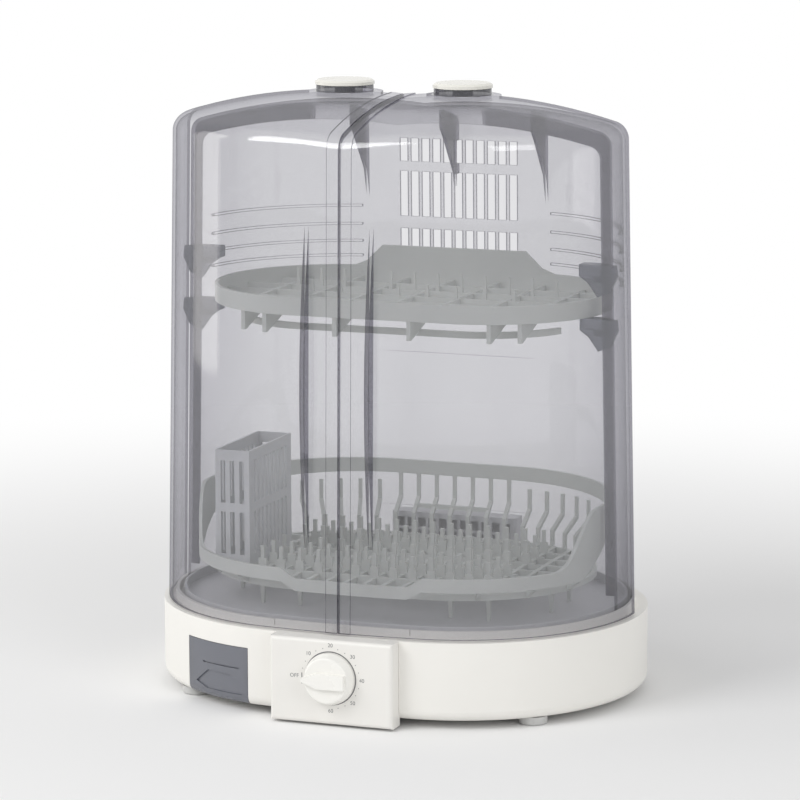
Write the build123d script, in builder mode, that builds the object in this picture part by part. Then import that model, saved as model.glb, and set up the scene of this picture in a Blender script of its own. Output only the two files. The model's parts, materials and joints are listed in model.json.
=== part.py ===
from build123d import *
import os
from math import cos, hypot, radians, sin, sqrt, tan

# Dish dryer cabinet in millimetres. While it is modelled, X = 0 is the split between the doors,
# Y = 0 the line of the two door pivots, -Y the front, and Z = 0 the table top.

# Plan form: round ends about the door pivots, straight behind, slightly crowned in front.
pivot_x = 49.0
base_radius = 146.0
front_centre = 553.0
running_gap = 0.3
seat_gap = 0.15

# Base.
base_wall = 2.5
foot_height = 6.5
foot_radius = 11.0
foot_reach = 131.0
foot_angle = 46.0
rim_top = 68.0
skirt_corner = 8.0
skirt_bevel = 3.2
floor_opening_radius = 130.0
ring_radius = 136.5
ring_top = 75.0
ring_seam = 55.5
ring_seam_depth = 4.5
boss_radius = 4.5
screw_radius = 1.45
screw_head_radius = 3.2
screw_head_height = 1.5
screw_length = 14.0

# Clear doors and the fixed rear shell.
shell_wall = 2.5
draft = 1.13
door_radius = 142.2
door_bottom = 69.5
door_crown = 470.5
door_dome = 450.0
door_corner = 14.0
door_split = 0.5
bead_width = 10.0
bead_rise = 1.0
hub_radius = 22.5
hub_rise = 4.3
hub_top = door_crown + hub_rise
hub_land = 30.0
rear_radius = 133.5
rear_drop = 8.5
rear_corner = 12.0
rear_front_edge = -14.0
flange_inset = 9.5
flange_drop = 22.0
flange_start = 85.0
post_radius = 8.0
post_gap = 0.05
shoulder_radius = 14.0
cap_radius = 23.3
cap_height = 3.7
cap_stem_radius = 3.0

# Door handles: upright fins beside the split.
handle_x = 26.2
handle_thick = 3.2
handle_low = 130.0
handle_high = 385.0
handle_rise = 11.5

# Rear shell details.
vent_count = 11
vent_pitch = 9.4
vent_width = 6.7
vent_drops = ((184.5, 124.5), (114.5, 77.5), (69.5, 50.5))
rear_panel_half = 77.0
gusset_depth = 42.0
gusset_throat = 34.0
gusset_thick = 2.5
gusset_drops = (112.5, 75.0, 45.5, 37.0)
quarter_ribs = (322.0, 334.0, 348.0, 363.0)
rear_step_low = 115.0
rear_step_high = 244.0
rear_step_depth = 1.4

# Control panel and timer.
panel_half = 50.0
panel_front = -160.5
panel_low = 2.0
panel_corner = 3.0
panel_back = -143.8
knob_z = 38.3
knob_radius = 20.0
knob_depth = 10.0
knob_pointer = 3.5
shaft_radius = 3.0
timer_half = 24.0
timer_depth = 30.0

# Drip drawer behind the front left of the skirt.
drawer_inset = 59.5
drawer_width = 60.0
drawer_left = drawer_inset - pivot_x - base_radius
drawer_right = drawer_left + drawer_width
drawer_top = 51.6
drawer_floor = 11.5
drawer_rim = 46.0
drawer_back = -58.0
drawer_wall = 2.0
drawer_gap = 0.4
drawer_front_wall = 3.0
grip_depth = 1.2
grip_low = 14.0
grip_high = 29.0
grip_line = 34.8

# Drip tray on the deck.
tray_radius = 130.0
tray_top = 77.0
tray_wall = 2.0

# Hot air outlet, duct, heater and blower.
outlet_half = 54.0
outlet_front = 113.0
outlet_back = 129.5
outlet_top = 113.0
duct_half = 57.0
duct_front = 99.0
duct_back = 129.0
duct_low = 12.0
blower_y = 10.0
blower_low = 30.0
blower_high = 62.0
blower_wall = 2.0
scroll_start = 46.0
scroll_growth = 3.0
scroll_exit = (3.0, 51.0)
fan_radius = 42.0
fan_low = 33.5
fan_high = 57.0
fan_blades = 16
fan_shaft_radius = 2.5
motor_radius = 25.0

# Baskets.
basket_radius = 118.0
basket_wall = 2.6
basket_floor = 92.0
basket_bar = 3.2
basket_bar_height = 5.0
basket_pitch = 15.7
basket_bars = 15
cross_pitch = 22.0
peg_count = 13
peg_height = 19.0
peg_foot_height = 9.0
peg_foot_width = 6.4
peg_width = 2.8
peg_taper = 2.0
leg_width = 4.0
leg_taper = 2.0
upper_radius = 97.0
upper_half = 64.0
upper_y = 19.0
upper_low = 302.0
upper_high = 316.0
upper_bar_height = 5.0
upper_cross_pitch = 31.0
fin_depth = 15.0
fin_length = 50.0
fin_places = (-109.5, -88.2, -28.7, 32.4, 95.6, 117.0)
upper_peg_pitch = 19.9
upper_peg_count = 12
upper_peg_height = 14.0
bracket_tops = (upper_low, 344.0)
bracket_height = 25.0
bracket_clear = 1.2

# Cutlery stand.
stand_left = -137.0
stand_right = -108.0
stand_front = -60.0
stand_rear = 27.0
stand_top = 189.0
stand_wall = 1.8
stand_slot_pitch = 8.0
stand_slot_width = 4.0
stand_slot_height = 34.0
stand_tier_pitch = 41.0


def lean(height):
    """How far a drafted wall has leant in at a height above the door's bottom edge."""
    return (height - door_bottom) * tan(radians(draft))


def upright(y):
    """Plane of a sketch in X and Z at a depth; it extrudes towards the front."""
    return Plane.XZ.offset(-y)


def side(x):
    """Plane of a sketch in Y and Z at a width; it extrudes towards +X."""
    return Plane.YZ.offset(x)


def plan(radius):
    """Plan outline at a radius from the door pivots."""
    slant = hypot(pivot_x, front_centre)
    tangent_x = pivot_x + radius * pivot_x / slant
    tangent_y = -radius * front_centre / slant
    front_y = front_centre - slant - radius
    with BuildSketch() as outline:
        with BuildLine():
            Line((-pivot_x, radius), (pivot_x, radius))
            ThreePointArc((pivot_x, radius), (pivot_x + radius, 0), (tangent_x, tangent_y))
            ThreePointArc((tangent_x, tangent_y), (0, front_y), (-tangent_x, tangent_y))
            ThreePointArc((-tangent_x, tangent_y), (-pivot_x - radius, 0), (-pivot_x, radius))
        make_face()
    return outline.sketch


def column(radius, bottom, top, corner=0.0, bevel=0.0):
    """Upright plan column, with its bottom edge rounded or bevelled where they say so."""
    with BuildPart() as body:
        with BuildSketch(Plane.XY.offset(bottom)):
            add(plan(radius))
        extrude(amount=top - bottom)
        if corner:
            fillet(body.faces().sort_by(Axis.Z)[0].edges(), radius=corner)
        if bevel:
            chamfer(body.faces().sort_by(Axis.Z)[0].edges(), length=bevel)
    return body.part


def domed_half(radius, drop, corner, bottom, seam=0):
    """Right half of the drafted, domed form, a little past X = 0, with its top edge rounded.

    The dome's seam lies at an angle from +X where the form is cut away later.
    """
    past = 20.0
    reach = base_radius + pivot_x
    with BuildPart() as form:
        for height in (bottom, door_crown + 5):
            with BuildSketch(Plane.XY.offset(height)):
                add(plan(radius - lean(height)))
        loft(ruled=True)
        block((-reach, -past), (-reach, reach), (0, 2 * door_crown), Mode.SUBTRACT)
        with Locations((pivot_x, 0, door_crown - door_dome)):
            Sphere(door_dome - drop, rotation=(0, 0, seam), mode=Mode.INTERSECT)
        crown = form.faces().sort_by(Axis.Z)[-1]
        rounded = [edge for edge in crown.edges() if edge.center().X > 1 - past]
        fillet(rounded, radius=corner)
    return form.part


def block(x, y, z, mode=Mode.ADD):
    """Upright box between pairs of limits, in the part being built."""
    limits = (x, y, z)
    with Locations(tuple(sum(pair) / 2 for pair in limits)):
        Box(*[high - low for low, high in limits], mode=mode)


def post(x, y, radius, low, high, mode=Mode.ADD):
    """Upright cylinder between two heights, in the part being built."""
    with Locations((x, y, (low + high) / 2)):
        Cylinder(radius, high - low, mode=mode)


def plug(x, z, radius, front, back, mode=Mode.ADD):
    """Cylinder along Y between two depths, in the part being built."""
    with Locations(Location((x, (front + back) / 2, z), (90, 0, 0))):
        Cylinder(radius, back - front, mode=mode)


far = 2 * (base_radius + pivot_x)
deck_low = rim_top - base_wall
floor_top = foot_height + base_wall
boss_places = [(-110, 95), (110, 95), (-152, 0), (152, 0), (112, -92), (-62, -100)]
foot_x = pivot_x + foot_reach * cos(radians(foot_angle))
foot_y = foot_reach * sin(radians(foot_angle))
foot_places = [(foot_x, -foot_y), (foot_x, foot_y), (-foot_x, -foot_y), (-foot_x, foot_y)]

# ---------------------------------------------------------------- base shell
base_outer = column(base_radius, foot_height, rim_top, skirt_corner)
base_inner = column(base_radius - base_wall, floor_top, deck_low, bevel=skirt_bevel)
floor_opening = column(floor_opening_radius, 0, floor_top + 1)
drawer_backstop = column(base_radius - skirt_corner, 0, rim_top)
cord_hole_x, cord_hole_z, cord_hole_radius = -32.0, 24.0, 5.2

with BuildPart() as drawer_mouth:
    block((drawer_left - drawer_gap, drawer_right + drawer_gap), (-far, 0),
          (0, drawer_top + drawer_gap))
    add(drawer_backstop, mode=Mode.SUBTRACT)

with BuildPart() as base_shell:
    add(base_outer)
    add(base_inner, mode=Mode.SUBTRACT)
    for boss_x, boss_y in boss_places:
        post(boss_x, boss_y, boss_radius, floor_top, deck_low + 1)
    add(floor_opening, mode=Mode.SUBTRACT)
    for boss_x, boss_y in boss_places:
        post(boss_x, boss_y, screw_radius + post_gap, 0, floor_top + screw_length, Mode.SUBTRACT)
    panel_slot = panel_half + seat_gap
    block((-panel_slot, panel_slot), (-far, panel_back + seat_gap), (0, deck_low), Mode.SUBTRACT)
    add(drawer_mouth.part, mode=Mode.SUBTRACT)
    block((-outlet_half + 4, outlet_half - 4), (outlet_front + 2, duct_back - 2),
          (deck_low - 1, rim_top + 1), Mode.SUBTRACT)
    plug(cord_hole_x, cord_hole_z, cord_hole_radius, base_radius - 10, base_radius + 10, Mode.SUBTRACT)

# Ring on the deck, round the tray, with the two seams of its front section.
with BuildPart() as tray_ring:
    add(column(ring_radius, rim_top, ring_top))
    add(column(ring_radius - base_wall, rim_top - 1, ring_top + 1), mode=Mode.SUBTRACT)
    for sign in (-1, 1):
        block(sorted((sign * (ring_seam - 0.4), sign * (ring_seam + 0.4))), (-far, -ring_seam),
              (ring_top - ring_seam_depth, ring_top + 1), Mode.SUBTRACT)

# ---------------------------------------------------------------- bottom plate, feet, screws
intake_x, intake_y = -92.0, 22.0
intake_slots, intake_pitch, slot_length, slot_width = 9, 7.0, 46.0, 3.6

with BuildPart() as bottom_plate:
    add(column(floor_opening_radius - running_gap, foot_height, floor_top))
    for boss_x, boss_y in boss_places:
        post(boss_x, boss_y, screw_radius + 0.25, 0, floor_top + 1, Mode.SUBTRACT)
    with BuildSketch(Plane.XY.offset(foot_height)):
        with Locations((intake_x, intake_y)):
            with GridLocations(slot_length, intake_pitch, 1, intake_slots):
                Rectangle(slot_length, slot_width)
    extrude(amount=base_wall, mode=Mode.SUBTRACT)

with BuildPart() as rubber_feet:
    for x, y in foot_places:
        post(x, y, foot_radius, 0, foot_height)
    chamfer(rubber_feet.edges().group_by(Axis.Z)[0], length=1.2)

with BuildPart() as bottom_screws:
    for x, y in boss_places:
        post(x, y, screw_head_radius, foot_height - screw_head_height, foot_height)
        post(x, y, screw_radius, foot_height, foot_height + screw_length)

with BuildPart() as intake_filter:
    half_x, half_y = slot_length / 2 + 4, intake_slots * intake_pitch / 2 + 3
    with BuildSketch(Plane.XY.offset(floor_top)):
        with Locations((intake_x, intake_y)):
            Rectangle(2 * half_x, 2 * half_y)
            with GridLocations(half_x - 1, half_y - 1, 2, 2):
                Rectangle(half_x - 4, half_y - 4, mode=Mode.SUBTRACT)
    extrude(amount=3)
    block((intake_x - half_x + 1, intake_x + half_x - 1),
          (intake_y - half_y + 1, intake_y + half_y - 1), (floor_top + 3, floor_top + 3.6))

# ---------------------------------------------------------------- control panel and timer
panel_cap_clear = column(base_radius + seat_gap, deck_low - 0.2, rim_top + 2)

with BuildPart() as control_panel:
    block((-panel_half, panel_half), (panel_front, panel_back), (panel_low, rim_top))
    front_edges = control_panel.faces().sort_by(Axis.Y)[0].edges()
    fillet(front_edges, radius=panel_corner)
    block((-panel_half + base_wall, panel_half - base_wall), (panel_front + base_wall, 0),
          (panel_low + base_wall, deck_low), Mode.SUBTRACT)
    add(panel_cap_clear, mode=Mode.SUBTRACT)
    plug(0, knob_z, shaft_radius + 0.5, panel_front - 1, panel_front + base_wall + 1, Mode.SUBTRACT)

timer_front = panel_front + base_wall
with BuildPart() as timer_unit:
    block((-timer_half, timer_half), (timer_front, timer_front + timer_depth),
          (knob_z - timer_half + 2, knob_z + timer_half - 2))
    fillet(timer_unit.edges().filter_by(Axis.Y), radius=4)
    plug(0, knob_z, shaft_radius + post_gap, timer_front - 1, timer_front + 8, Mode.SUBTRACT)

knob_back = panel_front - 0.5
pointer_outline = [(-19.5, 1.5), (-6, 6.5), (16, 6), (16, -6), (-6, -6.5), (-19.5, -1.5)]
with BuildPart() as timer_knob:
    with BuildSketch(Plane.YZ):
        with BuildLine():
            Polyline((knob_back, knob_z), (knob_back, knob_z + knob_radius),
                     (knob_back - 3, knob_z + knob_radius), (knob_back - knob_depth, knob_z + 17.5),
                     (knob_back - knob_depth, knob_z), close=True)
        make_face()
    revolve(axis=Axis((0, 0, knob_z), (0, 1, 0)))
    fillet(timer_knob.faces().sort_by(Axis.Y)[0].edges(), radius=1.5)
    with BuildSketch(upright(knob_back - knob_depth + 1)):
        with BuildLine(Location((0, knob_z))):
            Polyline(*pointer_outline, close=True)
        make_face()
    extrude(amount=knob_pointer + 1, taper=6)
    plug(0, knob_z, shaft_radius + post_gap, knob_back - knob_depth + 1, knob_back + 1, Mode.SUBTRACT)

with BuildPart() as timer_shaft:
    plug(0, knob_z, shaft_radius, knob_back - knob_depth + 1.2, timer_front + 7.5)

# ---------------------------------------------------------------- drip drawer and its housing
sleeve_reach = column(base_radius - base_wall - seat_gap, floor_top, deck_low,
                      skirt_corner - base_wall)

with BuildPart() as drawer_front:
    block((drawer_left, drawer_right), (-far, 0), (foot_height, drawer_top))
    add(base_outer, mode=Mode.INTERSECT)
    add(column(base_radius - drawer_front_wall, floor_top, deck_low,
               skirt_corner - drawer_front_wall), mode=Mode.SUBTRACT)
    add(drawer_backstop, mode=Mode.SUBTRACT)

with BuildPart() as drawer_grip:
    with BuildSketch(upright(0)):
        with BuildLine(Location((drawer_left, 0))):
            Polyline((8, grip_low + 4), (21, grip_high), (43, grip_high), (55, grip_low),
                     (43, grip_low), (20, grip_low), close=True)
        make_face()
        with Locations((drawer_left + drawer_width / 2 + 4, grip_line)):
            Rectangle(36, 1.0)
    extrude(amount=far)
    add(column(base_radius - grip_depth, 0, rim_top), mode=Mode.SUBTRACT)

with BuildPart() as drip_drawer:
    add(drawer_front.part)
    add(drawer_grip.part, mode=Mode.SUBTRACT)
    with BuildSketch(Plane.XY.offset(drawer_floor)):
        with BuildLine():
            Polyline((drawer_left + 2, drawer_back), (drawer_right - 2, drawer_back),
                     (drawer_right - 2, -far / 2), (drawer_left + 2, -far / 2), close=True)
        make_face()
        add(plan(base_radius - drawer_front_wall + 0.5), mode=Mode.INTERSECT)
    extrude(amount=drawer_rim - drawer_floor)
    with BuildSketch(Plane.XY.offset(drawer_floor + drawer_wall)):
        with BuildLine():
            Polyline((drawer_left + 4, drawer_back + 2), (drawer_right - 4, drawer_back + 2),
                     (drawer_right - 4, -far / 2), (drawer_left + 4, -far / 2), close=True)
        make_face()
        add(plan(base_radius - drawer_front_wall), mode=Mode.INTERSECT)
    extrude(amount=rim_top, mode=Mode.SUBTRACT)

with BuildPart() as drawer_housing:
    block((drawer_left - 3, drawer_right + 3), (-far / 2, drawer_back + 6),
          (floor_top, drawer_top + 3))
    add(sleeve_reach, mode=Mode.INTERSECT)
    block((drawer_left - 1, drawer_right + 1), (-far, drawer_back + 4),
          (floor_top + 2, drawer_top + 1), Mode.SUBTRACT)
    add(drawer_mouth.part, mode=Mode.SUBTRACT)

# ---------------------------------------------------------------- blower, heater and duct
with BuildPart() as air_duct:
    block((-duct_half, duct_half), (duct_front, duct_back), (duct_low, deck_low))
    block((-duct_half + 2, duct_half - 2), (duct_front + 2, duct_back - 2),
          (duct_low + 2, deck_low - 2), Mode.SUBTRACT)
    block((-outlet_half + 4, outlet_half - 4), (outlet_front + 2, duct_back - 2),
          (deck_low - 3, deck_low + 1), Mode.SUBTRACT)
    block(scroll_exit, (duct_front - 1, duct_front + 3),
          (blower_low + blower_wall, blower_high - blower_wall), Mode.SUBTRACT)


def scroll(start):
    """Blower outline: quarter arcs of growing radius, then the straight exit at +X."""
    step = scroll_growth
    radii = [start + step * turn for turn in range(4)]
    with BuildSketch() as outline:
        with BuildLine():
            first = (-step / 2, blower_y - step / 2 + radii[0])
            west = (first[0] - radii[0], first[1] - radii[0])
            south = (west[0] + radii[1], west[1] - radii[1])
            east = (south[0] + radii[2], south[1] + radii[2])
            ThreePointArc(first, (first[0] - radii[0] * sin(radians(45)),
                                  first[1] - radii[0] * (1 - cos(radians(45)))), west)
            ThreePointArc(west, (west[0] + radii[1] * (1 - cos(radians(45))),
                                 west[1] - radii[1] * sin(radians(45))), south)
            ThreePointArc(south, (south[0] + radii[2] * sin(radians(45)),
                                  south[1] + radii[2] * (1 - cos(radians(45)))), east)
            Polyline(east, (east[0], duct_front), (first[0], duct_front), first)
        make_face()
    return outline.sketch


with BuildPart() as blower_housing:
    with BuildSketch(Plane.XY.offset(blower_low)):
        add(scroll(scroll_start + blower_wall))
    extrude(amount=blower_high - blower_low)
    with BuildSketch(Plane.XY.offset(blower_low + blower_wall)):
        add(scroll(scroll_start + blower_wall))
        offset(amount=-blower_wall)
    extrude(amount=blower_high - blower_low - 2 * blower_wall, mode=Mode.SUBTRACT)
    block(scroll_exit, (duct_front - 4, duct_front + 1),
          (blower_low + blower_wall, blower_high - blower_wall), Mode.SUBTRACT)
    post(0, blower_y, fan_radius - 8, blower_high - 3, blower_high + 1, Mode.SUBTRACT)
    post(0, blower_y, 8, blower_low - 1, blower_low + 3, Mode.SUBTRACT)

with BuildPart() as fan_motor:
    post(0, blower_y, motor_radius, floor_top, blower_low)
    chamfer(fan_motor.edges().group_by(Axis.Z)[0], length=2)
    post(0, blower_y, fan_shaft_radius + post_gap, blower_low - 12, blower_low + 1, Mode.SUBTRACT)

with BuildPart() as fan_shaft:
    post(0, blower_y, fan_shaft_radius, blower_low - 11, fan_low + 16)

with BuildPart() as fan_impeller:
    post(0, blower_y, fan_radius, fan_low, fan_low + 1.5)
    post(0, blower_y, 7, fan_low, fan_low + 18)
    with BuildSketch(Plane.XY.offset(fan_low + 1)):
        with Locations((0, blower_y)):
            with PolarLocations(fan_radius - 4.5, fan_blades):
                Rectangle(8, 1.2, rotation=35)
    extrude(amount=fan_high - fan_low - 1)
    with BuildSketch(Plane.XY.offset(fan_high - 1.5)):
        with Locations((0, blower_y)):
            Circle(fan_radius)
            Circle(fan_radius - 3, mode=Mode.SUBTRACT)
    extrude(amount=1.5)
    post(0, blower_y, fan_shaft_radius + post_gap, 0, fan_low + 16.2, Mode.SUBTRACT)

heater_low, heater_high = 40.0, 52.0
with BuildPart() as heater_block:
    for bar_y in (duct_front + 4, duct_back - 6):
        block((-duct_half + 5, duct_half - 5), (bar_y, bar_y + 2), (heater_low, heater_high))
    with BuildSketch(Plane.XY.offset(heater_low + 1)):
        with Locations((0, (duct_front + duct_back) / 2)):
            with GridLocations(6.0, 1, 15, 1):
                Rectangle(1.2, duct_back - duct_front - 9)
    extrude(amount=heater_high - heater_low - 2)

with BuildPart() as heater_holder:
    for end in (-1, 1):
        block(sorted((end * (duct_half - 2), end * (duct_half - 5))),
              (duct_front + 2, duct_back - 2), (heater_low - 4, heater_high))

with BuildPart() as thermal_cutout:
    plug(-30, 42, 8, duct_front - 6, duct_front)
    block((-42, -18), (duct_front - 1.5, duct_front), (38, 46))

with BuildPart() as air_outlet_box:
    block((-outlet_half, outlet_half), (outlet_front, outlet_back), (rim_top, outlet_top))
    fillet(air_outlet_box.edges().filter_by(Axis.Z).group_by(Axis.Y)[0], radius=3)
    block((-outlet_half + 2, outlet_half - 2), (outlet_front + 2, outlet_back - 2),
          (rim_top - 1, outlet_top - 2), Mode.SUBTRACT)
    with BuildSketch(upright(outlet_front + 3)):
        with Locations((0, outlet_top - 13.5)):
            with GridLocations(9.2, 10.0, 11, 2):
                Rectangle(6.6, 8.0)
    extrude(amount=6, mode=Mode.SUBTRACT)

with BuildPart() as cord_bushing:
    with BuildSketch(Plane.YZ.offset(cord_hole_x)):
        with BuildLine():
            Polyline((base_radius - 6, cord_hole_z + 3.2), (base_radius - 6, cord_hole_z + 5),
                     (base_radius, cord_hole_z + 5), (base_radius, cord_hole_z + 8),
                     (base_radius + 2, cord_hole_z + 7), (base_radius + 2, cord_hole_z + 3.2),
                     close=True)
        make_face()
    revolve(axis=Axis((cord_hole_x, 0, cord_hole_z), (0, 1, 0)))

# ---------------------------------------------------------------- drip tray
def tray_plan(inset):
    """Tray outline, drawn in by an inset, with its notch for the air outlet."""
    notch_front = outlet_front - 2 - inset
    with BuildSketch() as outline:
        add(plan(tray_radius - inset))
        with Locations((0, (notch_front + tray_radius + 1) / 2)):
            Rectangle(2 * (outlet_half + 3 + inset), tray_radius + 1 - notch_front,
                      mode=Mode.SUBTRACT)
    return outline.sketch


with BuildPart() as drip_tray:
    with BuildSketch(Plane.XY.offset(rim_top)):
        add(tray_plan(0))
    extrude(amount=tray_top - rim_top)
    with BuildSketch(Plane.XY.offset(rim_top + tray_wall)):
        add(tray_plan(tray_wall))
    extrude(amount=tray_top, mode=Mode.SUBTRACT)

# ---------------------------------------------------------------- doors
door_outer = domed_half(door_radius, 0, door_corner, door_bottom)
door_inner = domed_half(door_radius - shell_wall, shell_wall, door_corner - shell_wall, door_bottom)
bead_outer = domed_half(door_radius + bead_rise, -bead_rise, door_corner + bead_rise, door_bottom)
handle_y = -door_radius + lean((handle_low + handle_high) / 2) - 1.0
handle_mid = (handle_low + handle_high) / 2

with BuildPart() as door_bead:
    add(bead_outer)
    block((-far, door_split), (-far, far), (0, far * 2), Mode.SUBTRACT)
    block((bead_width, far), (-far, far), (0, far * 2), Mode.SUBTRACT)

with BuildPart() as door_keep:
    block((door_split, far), (-far, 0), (0, far * 2))
    post(pivot_x, 0, hub_land, door_bottom + 200, door_crown + 20)

with BuildPart() as door_right:
    add(door_outer)
    add(door_bead.part)
    add(door_inner, mode=Mode.SUBTRACT)
    add(door_keep.part, mode=Mode.INTERSECT)
    with BuildSketch(side(handle_x - handle_thick / 2)):
        with BuildLine():
            ThreePointArc((handle_y + lean(handle_low) - lean(handle_mid), handle_low),
                          (handle_y - handle_rise, handle_mid),
                          (handle_y + lean(handle_high) - lean(handle_mid), handle_high))
            Line((handle_y + lean(handle_high) - lean(handle_mid), handle_high),
                 (handle_y + lean(handle_low) - lean(handle_mid), handle_low))
        make_face()
    extrude(amount=handle_thick)
    post(pivot_x, 0, hub_radius, door_crown - 1.5, hub_top)
    post(pivot_x, 0, post_radius + post_gap, door_crown - 20, hub_top + 1, Mode.SUBTRACT)

with BuildPart() as door_left:
    mirror(door_right.part, about=Plane.YZ)

# ---------------------------------------------------------------- fixed rear shell
rear_outer = domed_half(rear_radius, rear_drop, rear_corner, rim_top, seam=-90)
rear_inner = domed_half(rear_radius - shell_wall, rear_drop + shell_wall,
                        rear_corner - shell_wall, rim_top, seam=-90)
arch_inner = domed_half(rear_radius - flange_inset, flange_drop, rear_corner - 2, rim_top, seam=-90)
rear_crown = door_crown - rear_drop
rear_wall_y = rear_radius - shell_wall

with BuildPart() as rear_flange:
    add(rear_outer)
    add(arch_inner, mode=Mode.SUBTRACT)
    block((-far, far), (-far, rear_front_edge), (0, 2 * far), Mode.SUBTRACT)
    block((-far, far), (rear_front_edge + shell_wall, far), (0, 2 * far), Mode.SUBTRACT)
    block((-far, far), (-far, far), (0, flange_start), Mode.SUBTRACT)

with BuildPart() as rear_inside:
    for rib_z in quarter_ribs:
        with BuildSketch(Plane.XY.offset(rib_z)):
            add(plan(rear_wall_y - lean(rib_z) + 0.5))
            add(plan(rear_wall_y - lean(rib_z) - 3.0), mode=Mode.SUBTRACT)
            with Locations((0, 20 - far / 2)):
                Rectangle(2 * far, far, mode=Mode.SUBTRACT)
            Rectangle(2 * (rear_panel_half + 4), 2 * far, mode=Mode.SUBTRACT)
        extrude(amount=2)
    gusset_low, gusset_mid, gusset_bend, gusset_top = (door_crown - drop for drop in gusset_drops)
    wall_y = rear_wall_y + 0.8 - lean(gusset_low)
    for gusset_x in (0, rear_panel_half):
        with BuildSketch(side(gusset_x - gusset_thick / 2)):
            with BuildLine():
                Polyline((wall_y, gusset_low), (wall_y - gusset_throat / 3, gusset_mid),
                         (wall_y - gusset_throat, gusset_bend), (wall_y - gusset_depth, gusset_top),
                         (wall_y - gusset_depth, rear_crown), (wall_y, rear_crown), close=True)
            make_face()
        extrude(amount=gusset_thick)
    with BuildSketch(side(0)):
        with BuildLine():
            Polyline(*[(rear_wall_y - lean(height) + reach, height)
                       for reach, height in ((0.8, rear_step_low), (0.8, rear_step_high),
                                             (-rear_step_depth, rear_step_high),
                                             (-rear_step_depth, rear_step_low))], close=True)
        make_face()
    extrude(amount=rear_panel_half - gusset_thick)
    add(rear_outer, mode=Mode.INTERSECT)
    block((-far, 0), (-far, far), (0, 2 * far), Mode.SUBTRACT)

with BuildPart() as rear_shell:
    add(rear_outer)
    block((0, far), (rear_front_edge, far), (0, 2 * far), Mode.INTERSECT)
    add(rear_inner, mode=Mode.SUBTRACT)
    add(rear_flange.part)
    add(rear_inside.part)
    post(pivot_x, 0, shoulder_radius, rear_crown - 2, door_crown - shell_wall - running_gap)
    post(pivot_x, 0, post_radius, rear_crown, hub_top + 2)
    post(pivot_x, 0, cap_stem_radius + post_gap, rear_crown, hub_top + 3, Mode.SUBTRACT)
    block((-far, 0), (-far, far), (0, 2 * far), Mode.SUBTRACT)
    mirror(about=Plane.YZ)
    with BuildSketch(upright(rear_radius + 5)):
        for low, high in vent_drops:
            with Locations((0, door_crown - (low + high) / 2)):
                with GridLocations(vent_pitch, 1, vent_count, 1):
                    Rectangle(vent_width, low - high)
    extrude(amount=20, mode=Mode.SUBTRACT)
    for rest_x in (-60, 60):
        block((rest_x - 6, rest_x + 6), (upper_y + upper_radius - 3, rear_wall_y - lean(upper_low) + 1),
              (upper_low - 4, upper_low))

pivot_caps = {}
for sign, label in ((-1, "left"), (1, "right")):
    with BuildPart() as pivot_cap:
        post(sign * pivot_x, 0, cap_radius, hub_top + running_gap, hub_top + running_gap + cap_height)
        chamfer(pivot_cap.faces().sort_by(Axis.Z)[-1].edges(), length=1.4, length2=2.2)
        post(sign * pivot_x, 0, post_radius + seat_gap, hub_top, hub_top + 2, Mode.SUBTRACT)
        post(sign * pivot_x, 0, cap_stem_radius, hub_top - 6, hub_top + 3)
    pivot_caps["pivot_cap_" + label] = pivot_cap

# ---------------------------------------------------------------- shelf brackets
brackets = {}
for sign, label in ((-1, "left"), (1, "right")):
    for height, place in zip(bracket_tops, ("lower", "upper")):
        wall_x = pivot_x + rear_radius - lean(height)
        flange_x = wall_x - flange_inset
        with BuildPart() as bracket:
            with BuildSketch(upright(rear_front_edge - seat_gap)):
                with BuildLine():
                    Polyline((wall_x + 2.5, height), (wall_x + 3.5, height - 9),
                             (wall_x - 2, height - bracket_height + 4),
                             (wall_x - 12, height - bracket_height), (wall_x - 20, height - 14),
                             (wall_x - 27, height - 9), (wall_x - 27, height), close=True)
                make_face()
            extrude(amount=4)
            block((wall_x - 27, flange_x - bracket_clear),
                  (rear_front_edge - 4, rear_front_edge + 9), (height - 9, height))
            block((flange_x - 8, flange_x + 3),
                  (rear_front_edge + shell_wall + seat_gap, rear_front_edge + 9),
                  (height - 14, height))
            if sign < 0:
                add(mirror(bracket.part, about=Plane.YZ, mode=Mode.PRIVATE), mode=Mode.REPLACE)
        brackets["shelf_bracket_" + label + "_" + place] = bracket

# ---------------------------------------------------------------- lower basket
rim_profile_top = [(-130, 111.0), (-56, 111.0), (-26, 154.0), (130, 156.0)]
rim_profile_low = [(130, 145.0), (26, 141.0), (-38, 100.5), (-130, 100.5)]

with BuildPart() as lower_rim:
    add(column(basket_radius, basket_floor, 160))
    add(column(basket_radius - basket_wall, basket_floor - 1, 161), mode=Mode.SUBTRACT)
    with BuildSketch(side(-far / 2)):
        with BuildLine():
            FilletPolyline(*rim_profile_top, radius=22)
            Line(rim_profile_top[-1], rim_profile_low[0])
            FilletPolyline(*rim_profile_low, radius=30)
            Line(rim_profile_low[-1], rim_profile_top[0])
        make_face()
    extrude(amount=far, mode=Mode.INTERSECT)
    block((-60, 60), (-far, 0), (0, far), Mode.SUBTRACT)

with BuildPart() as front_rim:
    add(column(basket_radius, basket_floor, 160))
    add(column(basket_radius - basket_wall, basket_floor - 1, 161), mode=Mode.SUBTRACT)
    with BuildSketch(upright(0)):
        with BuildLine():
            Polyline((-62, 111), (-58, 111), (-46, 103.5), (46, 103.5), (58, 111), (62, 111),
                     (62, 100.5), (58, 100.5), (46, 94), (-46, 94), (-58, 100.5), (-62, 100.5),
                     close=True)
        make_face()
    extrude(amount=far, mode=Mode.INTERSECT)

floor_radius = basket_radius - 12
bar_top = basket_floor + basket_bar_height
tray_floor = rim_top + tray_wall


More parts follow.
